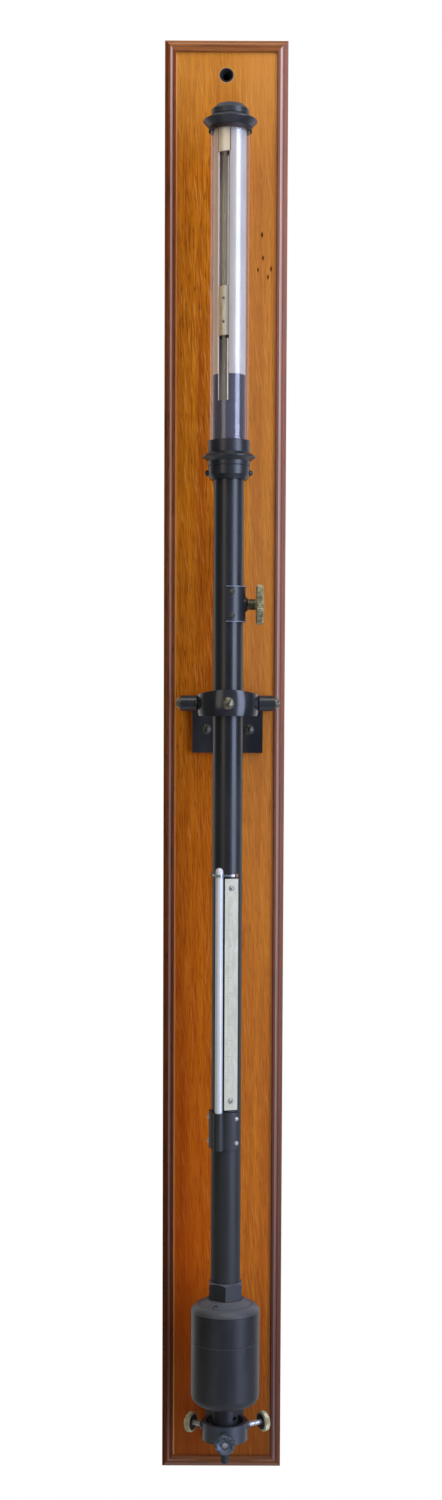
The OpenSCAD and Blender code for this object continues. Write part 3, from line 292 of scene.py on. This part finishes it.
# Painted highlight: a pale line on the panel beside the mouldings.
painted_panel_edge_light = add("MapRange", {0: off_middle, 1: panel_edge - painted_panel_edge_light_width, 2: panel_edge, 4: 0.6})[0]
colour = stained(
    add,
    colour,
    ("#dc9c4c", pale_fleck),
    ("#7c3802", dark_fleck),
    ("#c88648", painted_sheen_right, sheen_less_at_foot),
    ("#cf9140", painted_light_top),
    ("#842600", aged_and_shaded_below, shade_more_on_left),
    ("#b84a06", reddened_below),
    ("#4a2a12", painted_shade_foot),
    ("#f0b070", painted_panel_edge_light),
)

# Pits: five small knocks in the panel's upper right, taller than wide and stained dark, and the
# ring round the hanging hole where the hook has worn the varnish. Each pit is x, z and radius.

pits = [
    (0.0276, -0.1197, 0.0005),
    (0.0284, -0.1371, 0.0004),
    (0.0346, -0.1453, 0.0004),
    (0.0323, -0.1514, 0.0004),
    (0.0246, -0.1461, 0.0003),
]
pit_stretch = 2.6
worn_radius = 0.0059
soft_rim = 0.0006
for x, z, radius in pits:
    colour = stained(add, colour, ("#381604", near(add, place, x, z, radius, soft_rim, pit_stretch)))
worn_ring = near(add, place, 0.0, 0.0, worn_radius, soft_rim)
colour = stained(add, colour, ("#b58a5c", worn_ring, 0.6))
dress(varnished(add, end, colour, pores, place, 0.06, 0.0), "backboard")

# Edge mouldings: mahogany stained dark, polished, mitred and glued round the panel. A painted sheen
# lies on the right and upwards, and a painted highlight runs as a pale line along the arris of each
# long strip.

panel_rim = float(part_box("moulding_right")[1][0])
arris_from_rim = 0.005
add, end = new_material("stained_mahogany")
place = add("TexCoord")["Object"]
sideways = add("SeparateXYZ", {0: place})[0]
height = add("SeparateXYZ", {0: place})[2]
off_middle = add("Math", {0: sideways}, operation="ABSOLUTE")[0]
from_rim = add("Math", {0: panel_rim, 1: off_middle}, operation="SUBTRACT")[0]
off_arris = add("Math", {0: from_rim, 1: arris_from_rim}, operation="SUBTRACT")[0]
off_arris = add("Math", {0: off_arris}, operation="ABSOLUTE")[0]
dark_below = add("MapRange", {0: height, 1: -0.35, 2: -0.95, 4: 0.6})[0]
# Painted sheen, stronger upwards and on the right.
sheen_more_above = add("MapRange", {0: height, 1: -1.0, 2: -0.1, 3: 0.25, 4: 1.0})[0]
painted_sheen = add("MapRange", {0: sideways, 1: -0.02, 2: 0.03, 4: 0.24})[0]
# Painted highlight: a pale line along the arris, stronger on the right.
arris_highlight = add("MapRange", {0: off_arris, 1: 0.0004, 2: 0.0011, 3: 1.0, 4: 0.0})[0]
highlight_more_on_right = add("MapRange", {0: sideways, 1: -0.02, 2: 0.03, 3: 0.35, 4: 0.9})[0]
colour, pores = grain(add, place, "#8a4a20", "#64300f", "#2c1005")
colour = stained(
    add,
    colour,
    ("#3a1604", dark_below),
    ("#bc8e84", painted_sheen, sheen_more_above),
    ("#f4dada", arris_highlight, sheen_more_above, highlight_more_on_right),
)
dress(varnished(add, end, colour, pores, place, 0.05, 0.12), "moulding_left", "moulding_right")

# Short mouldings: the same mahogany at the top and the foot. Its grain runs along each strip, so
# this version of the wood is turned by a quarter.

add, end = new_material("stained_mahogany_across")
place = add("TexCoord")["Object"]
height = add("SeparateXYZ", {0: place})[2]
turned = add("Mapping", {"Vector": place, "Rotation": (0, math.radians(90), 0)})[0]
streak = uneven(add, turned, (0.8, 0.8, 26), 3.0, 0.6)
tone = uneven(add, turned, (9, 9, 120))
colour = stained(
    add,
    linear("#6e3812"),
    ("#a05f2a", add("MapRange", {0: tone, 1: 0.32, 2: 0.68})[0]),
    ("#3a1604", add("MapRange", {0: height, 1: -0.35, 2: -0.95, 4: 0.6})[0]),
    ("#2c1005", add("MapRange", {0: streak, 1: 0.5, 2: 0.75, 4: 0.6})[0]),
)
dress(varnished(add, end, colour, streak, turned, 0.2, 0.8), "moulding_top", "moulding_bottom")

# Main tube and the guard of the thermometer's bulb: brass dipped in black spirit lacquer, which
# has gone duller towards the cistern. The window draws one broad soft band down the right.


def lacquer(name, colour, rough, haze, wear, duller=0.0, dust=0.0, shine=0.5, highlighted_edges=()):
    """Old black lacquer over brass, with haze, brass showing in specks and dust on what faces up. It
    is duller towards the foot, and carries a painted highlight, a pale line, at the heights of some
    edges."""
    painted_highlight_width = 0.0009
    add, end = new_material(name)
    place = add("TexCoord")["Object"]
    height = add("SeparateXYZ", {0: place})[2]
    facing_up = add("SeparateXYZ", {0: add("NewGeometry")["Normal"]})[2]
    patch = uneven(add, place, (18, 18, 45))
    speck = uneven(add, place, (2.2, 2.2, 3.5), 4.0, 0.65)
    hazy = add("MapRange", {0: patch, 1: 0.35, 2: 0.7, 4: haze})[0]
    dusty = add("MapRange", {0: facing_up, 1: 0.15, 2: 0.85, 4: dust})[0]
    bare = add("MapRange", {0: speck, 1: 0.72, 2: 0.8, 4: wear})[0]
    shade = stained(add, linear(colour), ("#4b4c50", hazy), ("#8b8d92", dusty), ("#8a7646", bare))
    # Painted highlight: a pale bluish line at each given edge height.
    for edge in highlighted_edges:
        off_edge = add("Math", {0: height, 1: edge}, operation="SUBTRACT")[0]
        off_edge = add("Math", {0: off_edge}, operation="ABSOLUTE")[0]
        painted_edge_highlight = add("MapRange", {0: off_edge, 1: painted_highlight_width / 3, 2: painted_highlight_width, 3: 0.5, 4: 0.0})[0]
        shade = stained(add, shade, ("#8c93a6", painted_edge_highlight))
    patchy = add("MapRange", {0: patch, 1: 0.3, 2: 0.72, 3: rough, 4: rough + 0.09})[0]
    dull_below = add("MapRange", {0: height, 1: -0.5, 2: -0.95, 4: duller})[0]
    ripple = uneven(add, place, (5, 5, 14), 2.0)
    lacquered = add(
        "BsdfPrincipled",
        {
            "Base Color": shade,
            "Roughness": add("Math", {0: patchy, 1: dull_below}, operation="ADD")[0],
            "Metallic": bare,
            "Specular IOR Level": shine,
            "Normal": add("Bump", {"Height": ripple, "Strength": 0.06, "Distance": 0.00008})[0],
        },
    )[0]
    return end(lacquered)


black = lacquer("black_lacquer", "#181b1d", rough=0.28, haze=0.12, wear=0.0, duller=0.32)
dress(black, "main_tube", "bulb_guard")

# Pinion housing: a saddle of the same lacquered brass, screwed round the tube. Its upper and lower
# edges carry a painted highlight, a bluish grey line.

edges = [float(corner[2]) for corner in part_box("pinion_housing")]
edge_highlit = lacquer("edge_highlit_lacquer", "#1e2126", rough=0.28, haze=0.15, wear=0.0, highlighted_edges=edges)
dress(edge_highlit, "pinion_housing")

# Gimbal, its bracket, the collars, the shade's cup and the bush of the hanging hole: the same
# lacquer on brass castings and turned rings, rubbed through in specks where hands and cloths have
# been. The gimbal ring is the glossiest.

dress(lacquer("polished_lacquer", "#1b1d22", rough=0.16, haze=0.3, wear=0.5), "gimbal_ring")
dress(
    lacquer("worn_lacquer", "#1b1d22", rough=0.28, haze=0.3, wear=0.5),
    "gimbal_bracket",
    "suspension_collar",
    "tube_socket",
    "shade_cup",
    "socket_screws",
    "hanging_bush",
)

# Cap and its ring: turned and lacquered brass that closes the glass shade. It has gone grey and
# matt, and dust lies on what faces up.

grey = lacquer("grey_lacquer", "#25272c", rough=0.34, haze=0.5, wear=0.2, dust=0.1)
dress(grey, "top_cap", "cap_ring")

# Cistern, its union and the base plug: turned brass, lacquered and handled less, so it stays matt
# and even, with dust on the shoulder.

dress(
    lacquer("dusty_lacquer", "#1d1e22", rough=0.4, haze=0.2, wear=0.1, dust=0.27, shine=0.34),
    "cistern_top",
    "cistern_body",
    "vent_screw",
    "hex_union",
    "base_plug",
)

# Centring bracket: a casting painted in the same black and screwed to the board. It looks a shade
# bluer, with bare specks.

dress(lacquer("painted_casting", "#2a3038", rough=0.36, haze=0.35, wear=0.5), "centring_bracket")

# Vernier slide, rack, and the pads behind the thermometer's plate: brass left bare where no hand
# reaches. It has tarnished to a dull olive in patches a few millimetres wide.


def metal(name, light, dark, rough, patch_size, metallic=1.0, bump_depth=0.00004):
    """A metal with tarnish in patches of a size in millimetres and a fine uneven surface."""
    add, end = new_material(name)
    place = add("TexCoord")["Object"]
    patch = uneven(add, place, (patch_size, patch_size, patch_size), 4.0, 0.6)
    fine = uneven(add, place, (0.5, 0.5, 0.5), 2.0)
    bright = add("MapRange", {0: patch, 1: 0.36, 2: 0.66})[0]
    surface = add(
        "BsdfPrincipled",
        {
            "Base Color": stained(add, linear(dark), (light, bright)),
            "Roughness": add("MapRange", {0: patch, 1: 0.3, 2: 0.7, 3: rough + 0.12, 4: rough})[0],
            "Metallic": metallic,
            "Normal": add("Bump", {"Height": fine, "Strength": 0.3, "Distance": bump_depth})[0],
        },
    )[0]
    return end(surface)


dress(
    metal("tarnished_brass", "#aeaa8a", "#736f4e", rough=0.36, patch_size=3.0, metallic=0.4),
    "vernier_slide",
    "rack",
    "rack_screw",
    "plate_pads",
)

# Milled knob: unlacquered brass on the pinion's shaft. Its disc has gone a greenish cream, and the
# stalk is dark.

disc_thickness = 0.0062
stalk_fade = 0.0006
add, end = new_material("knob_brass")
place = add("TexCoord")["Object"]
sideways = add("SeparateXYZ", {0: place})[0]
disc_start = float(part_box("milled_knob")[1][0]) - disc_thickness
patch = uneven(add, place, (3, 3, 3), 4.0, 0.6)
cream = add("MapRange", {0: patch, 1: 0.36, 2: 0.66})[0]
stalk = add("MapRange", {0: sideways, 1: disc_start - stalk_fade, 2: disc_start, 3: 0.85, 4: 0.0})[0]
colour = stained(add, linear("#736f4e"), ("#aeaa8a", cream), ("#3d3a2e", stalk))
knob = add("BsdfPrincipled", {"Base Color": colour, "Roughness": 0.42, "Metallic": 0.4})[0]
dress(end(knob), "milled_knob")

# Heads of the centring screws: turned brass, dished, with a milled rim. The side heads are light on
# their rims and dark within their dishes, and the front head is grey all over.

dish_radius = 0.0056
joints = {joint["name"]: joint for joint in frame["joints"]}


def dished_brass(name, light, dark, joint):
    """Brass, light on its milled rim and dark within the dish's radius of a joint's axis."""
    add, end = new_material(name)
    place = add("TexCoord")["Object"]
    patch = uneven(add, place, (2.2, 2.2, 2.2), 4.0, 0.6)
    from_axis = add("VectorMath", {0: place, 1: Vector(joint["pos_m"])}, operation="SUBTRACT")[0]
    across = add("VectorMath", {0: from_axis, 1: Vector(joint["axis"])}, operation="CROSS_PRODUCT")[0]
    distance = add("VectorMath", {0: across}, operation="LENGTH")[1]
    in_dish = add("MapRange", {0: distance, 1: dish_radius, 2: dish_radius + 0.0008, 3: 1.0, 4: 0.0})[0]
    tarnish = add("MapRange", {0: patch, 1: 0.36, 2: 0.66, 4: 0.5})[0]
    colour = stained(add, linear(light), ("#736f4e", tarnish), (dark, in_dish))
    return end(add("BsdfPrincipled", {"Base Color": colour, "Roughness": 0.4, "Metallic": 0.4})[0])


for side in ("left", "right"):
    head_brass = dished_brass(f"dished_brass_{side}", "#b9b090", "#252a26", joints[f"{side}_turn"])
    dress(head_brass, f"{side}_head")
grey_brass = metal("grey_brass_head", "#5e6874", "#2e333d", rough=0.46, patch_size=2.2, metallic=0.4)
dress(grey_brass, "front_head")

# Pivot, trunnion and vernier screws: turned brass, browned. The polish that is left shows in small
# bright patches.

browned = metal("browned_brass", "#8d8976", "#4e4a3c", rough=0.34, patch_size=2.0, metallic=0.6)
dress(browned, "ring_pivot_screws", "trunnion_screws")
dark_brass = metal("dark_brass", "#6a5c3c", "#352e1d", rough=0.4, patch_size=1.2, metallic=0.5)
dress(dark_brass, "vernier_screws")

# Wood screws and the small screws of the pinion housing: steel under a brown film of old oil, so
# they look dull and dark.

dress(
    metal("filmed_steel", "#5c5a52", "#312f28", rough=0.42, patch_size=2.0, metallic=0.5),
    "bracket_screws",
    "centring_bracket_screws",
    "housing_screws",
)

# Bright steel: the thermometer's round-headed screws and the shanks of the centring screws, turned
# and kept bright. The pinion on its shaft is the same steel under oil.

dress(
    metal("bright_steel", "#d2d2ce", "#84868a", rough=0.24, patch_size=1.6, metallic=0.6),
    "plate_screws",
    "guard_screws",
    "left_screw",
    "right_screw",
    "front_screw",
)
oiled_steel = metal("oiled_steel", "#6f6a5c", "#3a372e", rough=0.36, patch_size=1.6, metallic=0.8)
dress(oiled_steel, "pinion")

# Strap of the thermometer: a bent strip of nickelled brass that holds the top of the stem to the
# tube, with two screws of reddish copper.

nickelled = metal("nickelled_strap", "#b4b8ba", "#6f7478", rough=0.28, patch_size=2.0, metallic=0.8)
dress(nickelled, "stem_strap")
copper = metal("copper_screw", "#b98a74", "#7a5040", rough=0.32, patch_size=1.2, metallic=0.7)
dress(copper, "strap_screws")

# Mercury: clean and liquid in the tube, the cistern and the thermometer, so it is smooth and
# mirrors what stands round it.

dress(
    metal("mercury", "#d9dbde", "#c3c6ca", rough=0.05, patch_size=20.0, bump_depth=0.0),
    "mercury_column",
    "cistern_mercury",
    "thermometer_mercury",
)

# Scale tube: brass, silvered to a soft matt white above a sharp line and lacquered black below it.
# Away from the window's side the silver carries painted shade and a warm painted reflection of the
# oak, and the inside is painted pale to stand in for light. Divisions are engraved on both sides of
# the slot, with inches on the right. Such lines are about 0.1 mm wide, too fine to show here, so they
# are drawn up to 0.24 mm wide.


def around(add, place, radius):
    """Arc length from the slot's middle to the right, height, and distance from the instrument's axis.
    The arc length is the angle round the axis, less the slot's, times a radius."""
    from_axis = add("VectorMath", {0: place, 1: axis}, operation="SUBTRACT")[0]
    part = add("SeparateXYZ", {0: from_axis})
    to_front = add("Math", {0: part[1], 1: -1.0}, operation="MULTIPLY")[0]
    angle = add("Math", {0: part[0], 1: to_front}, operation="ARCTAN2")[0]
    from_slot = add("Math", {0: angle, 1: slot_turn}, operation="SUBTRACT")[0]
    arc = add("Math", {0: from_slot, 1: radius}, operation="MULTIPLY")[0]
    flat = add("VectorMath", {0: from_axis, 1: (1, 1, 0)}, operation="MULTIPLY")[0]
    return arc, part[2], add("VectorMath", {0: flat}, operation="LENGTH")[1]


def between(add, value, low, high):
    """One where a value lies between two limits, else zero."""
    above = add("Math", {0: value, 1: low}, operation="GREATER_THAN")[0]
    below = add("Math", {0: value, 1: high}, operation="LESS_THAN")[0]
    return add("Math", {0: above, 1: below}, operation="MULTIPLY")[0]


def divisions(add, height, across, start, lines):
    """One on the lines of a scale, else zero. Each kind of line has a pitch, a width and two ends across
    the scale, and lies where the height above the start, in pitches, has a small enough fraction."""
    marks = 0.0
    for pitch, width, near_end, far_end in lines:
        count = add("Math", {0: height, 1: start}, operation="SUBTRACT")[0]
        count = add("Math", {0: count, 1: pitch}, operation="DIVIDE")[0]
        part = add("Math", {0: count}, operation="FRACT")[0]
        line = add("Math", {0: part, 1: width / pitch}, operation="LESS_THAN")[0]
        strip = between(add, across, near_end, far_end)
        line = add("Math", {0: line, 1: strip}, operation="MULTIPLY")[0]
        marks = add("Math", {0: marks, 1: line}, operation="MAXIMUM")[0]
    return marks


tilt_place = joints["tube_tilt"]["pos_m"]
axis = Vector((tilt_place[0], tilt_place[1], 0.0))
slot_turn = math.radians(-24)
tube_radius = 0.012
bore_radius = 0.0112
slot_top = -0.0735
silver_end = -0.2345
reading = -0.2064
slot_half = 0.0046
inch = 0.0254
millimetre = 0.001
scale_lines = [
    (inch / 20, 0.00016, 0.0060, 0.0078),
    (inch / 4, 0.0002, 0.0060, 0.0092),
    (inch, 0.00024, 0.0060, 0.0115),
    (millimetre, 0.00014, -0.0076, -0.0060),
    (5 * millimetre, 0.0002, -0.0088, -0.0060),
]
add, end = new_material("silvered_scale")
place = add("TexCoord")["Object"]
across, height, distance = around(add, place, tube_radius)
patch = uneven(add, place, (6, 6, 30), 4.0, 0.6)
marks = divisions(add, height, across, reading, scale_lines)
above_slot = between(add, height, slot_top, 0.0)
left_border = between(add, across, -0.0052, -slot_half)
right_border = between(add, across, slot_half, 0.0056)
colour = stained(
    add,
    linear("#bdbeb8"),
    ("#d0d2ce", add("MapRange", {0: patch, 1: 0.35, 2: 0.7})[0]),
    # Painted shade and reflection: warm grey on all but the window's side, and a warm pale painted
    # reflection of the oak left of the slot.
    ("#a59a88", add("MapRange", {0: across, 1: 0.0115, 2: 0.005, 4: 0.6})[0]),
    ("#f6dec0", add("MapRange", {0: across, 1: 0.001, 2: -0.005})[0], 0.85),
    ("#e3d8b4", between(add, across, -slot_half, slot_half), above_slot),
    ("#4a4840", add("Math", {0: left_border, 1: right_border}, operation="MAXIMUM")[0], above_slot, 0.7),
    ("#3a3833", marks, between(add, height, silver_end, slot_top), 0.38),
    ("#4c4e5a", add("Math", {0: height, 1: silver_end}, operation="LESS_THAN")[0]),
    # Painted light: the inside of the tube is painted pale to stand in for light that hardly reaches it.
    ("#efe6da", add("Math", {0: distance, 1: bore_radius}, operation="LESS_THAN")[0]),
)
silvering = add(
    "BsdfPrincipled",
    {
        "Base Color": colour,
        "Specular IOR Level": 0.3,
        "Roughness": add("MapRange", {0: patch, 1: 0.3, 2: 0.7, 3: 0.46, 4: 0.38})[0],
    },
)[0]
dress(end(silvering), "scale_tube")

# Vernier plate: brass, silvered long ago and yellowed like ivory, screwed to its slide. It has fine
# divisions down its right edge, where the silver shows paler.

plate_radius = 0.0112
vernier_pitch = 0.0012
vernier_lines = [
    (vernier_pitch, 0.00016, 0.0020, 0.0042),
    (5 * vernier_pitch, 0.0002, 0.0008, 0.0042),
]
add, end = new_material("yellowed_silvering")
place = add("TexCoord")["Object"]
across, height, distance = around(add, place, plate_radius)
patch = uneven(add, place, (2.5, 2.5, 7), 4.0, 0.6)
colour = stained(
    add,
    linear("#b7a67c"),
    ("#d0c6a2", add("MapRange", {0: patch, 1: 0.36, 2: 0.64})[0]),
    ("#b9bcb0", add("MapRange", {0: across, 1: 0.0004, 2: 0.0022})[0]),
    ("#3b3322", divisions(add, height, across, reading, vernier_lines), 0.4),
)
plate = add("BsdfPrincipled", {"Base Color": colour, "Roughness": 0.4, "Metallic": 0.2})[0]
dress(end(plate), "vernier_plate")

# Stem of the attached thermometer: a drawn rod of milk glass, polished, held by the strap above
# and the bulb guard below. It is an even bluish white with a sharp gloss.

add, end = new_material("milk_glass")
place = add("TexCoord")["Object"]
soft = uneven(add, place, (5, 5, 60), 2.0)
colour = stained(add, linear("#b9bbbc"), ("#cacbcb", add("MapRange", {0: soft, 1: 0.3, 2: 0.7})[0]))
stem = add(
    "BsdfPrincipled",
    {"Base Color": colour, "Roughness": 0.2, "Coat Weight": 0.5, "Coat Roughness": 0.06},
)[0]
dress(end(stem), "thermometer")

# Plate of the thermometer: flat brass, silvered and now a warm grey, screwed on beside the stem.
# It has a line for every degree along its left edge, and longer ones for every five and ten.

plate_turn = math.radians(15)
zero_line = -0.7802
lowest_mark = -0.765
highest_mark = -0.624
degree = 0.0012
degree_lines = [
    (degree, 0.00016, -0.0032, -0.0016),
    (5 * degree, 0.0002, -0.0032, -0.0006),
    (10 * degree, 0.00024, -0.0032, 0.0004),
]
add, end = new_material("silvered_plate")
place = add("TexCoord")["Object"]
height = add("SeparateXYZ", {0: place})[2]
from_axis = add("VectorMath", {0: place, 1: axis}, operation="SUBTRACT")[0]
along_plate = Vector((math.cos(plate_turn), math.sin(plate_turn), 0))
side = add("VectorMath", {0: from_axis, 1: along_plate}, operation="DOT_PRODUCT")[1]
patch = uneven(add, place, (3, 3, 12), 4.0, 0.6)
marks = divisions(add, height, side, zero_line, degree_lines)
colour = stained(
    add,
    linear("#b2af9a"),
    ("#c5c1ad", add("MapRange", {0: patch, 1: 0.35, 2: 0.7})[0]),
    ("#4f5048", marks, between(add, height, lowest_mark, highest_mark), 0.6),
)
plate = add("BsdfPrincipled", {"Base Color": colour, "Roughness": 0.42, "Metallic": 0.3})[0]
dress(end(plate), "thermometer_plate")

# Shade: a thin clear glass cylinder. It bends almost nothing that is seen through it, so it is
# clear with the mirror gloss of glass on top, which grows towards its edges.

add, end = new_material("thin_shade_glass")
gloss = add("BsdfGlossy", {"Color": linear("#ffffff"), "Roughness": 0.03})[0]
clear = add("BsdfTransparent", {"Color": linear("#fbf9fa")})[0]
mirror = add("Math", {0: add("Fresnel", {"IOR": 1.46})[0], 1: 0.13}, operation="MINIMUM")[0]
veil = add("BsdfDiffuse", {"Color": linear("#c9c4c4")})[0]
facing = add("LayerWeight", {"Blend": 0.5})["Facing"]
edge = add("MapRange", {0: facing, 1: 0.55, 2: 0.95, 4: 0.05})[0]
body = add("MixShader", {0: edge, 1: clear, 2: veil})[0]
lit = add("MixShader", {0: mirror, 1: body, 2: gloss})[0]
shadow = add("LightPath")["Is Shadow Ray"]
dress(end(add("MixShader", {0: shadow, 1: lit, 2: clear})[0]), "glass_shade")

# Barometer tube: thick lead glass round the mercury. Shadow rays pass through, so that what
# stands inside is lit as it is in a clear tube. The coat stands for the gloss of both its faces.

add, end = new_material("tube_glass")
glass = add(
    "BsdfPrincipled",
    {
        "Base Color": linear("#eef4f0"),
        "Roughness": 0.02,
        "IOR": 1.5,
        "Transmission Weight": 1.0,
        "Coat Weight": 1.0,
        "Coat IOR": 2.5,
        "Coat Roughness": 0.07,
    },
)[0]
open_path = add("BsdfTransparent", {"Color": linear("#eef4f0")})[0]
shadow = add("LightPath")["Is Shadow Ray"]
dress(end(add("MixShader", {0: shadow, 1: glass, 2: open_path})[0]), "barometer_tube")

# Seals and packings: oiled leather, punched and pressed between the metal and the glass. The seal
# at the top is painted almost black, as painted shade under the cap's flange.


def fibrous(name, light, dark, grain_size, rough):
    """A matt fibrous material, such as leather or cork, with a grain of a size in millimetres."""
    add, end = new_material(name)
    place = add("TexCoord")["Object"]
    fibre = uneven(add, place, (grain_size, grain_size, grain_size), 5.0, 0.65)
    colour = stained(add, linear(dark), (light, add("MapRange", {0: fibre, 1: 0.35, 2: 0.65})[0]))
    bump = add("Bump", {"Height": fibre, "Strength": 0.5, "Distance": 0.0002})[0]
    return end(add("BsdfPrincipled", {"Base Color": colour, "Roughness": rough, "Normal": bump})[0])


leather = fibrous("leather", "#6b4630", "#3a2115", grain_size=0.8, rough=0.7)
dress(leather, "shade_washer", "gland_packing", "cistern_gasket")
# Painted shade: the top seal is near black for the shade under the cap's flange.
seal_leather = fibrous("seal_leather", "#2b1511", "#150b0a", grain_size=0.8, rough=0.6)
dress(seal_leather, "shade_seal")

# Corks inside the tubes: rings cut from sheet cork and pushed in, which hold the glass tube in the
# middle. They are matt and mottled.

cork = fibrous("cork", "#b98d5e", "#8a6039", grain_size=1.2, rough=0.85)
dress(cork, "top_cork", "guide_corks")

bpy.context.scene.view_settings.view_transform = "Standard"
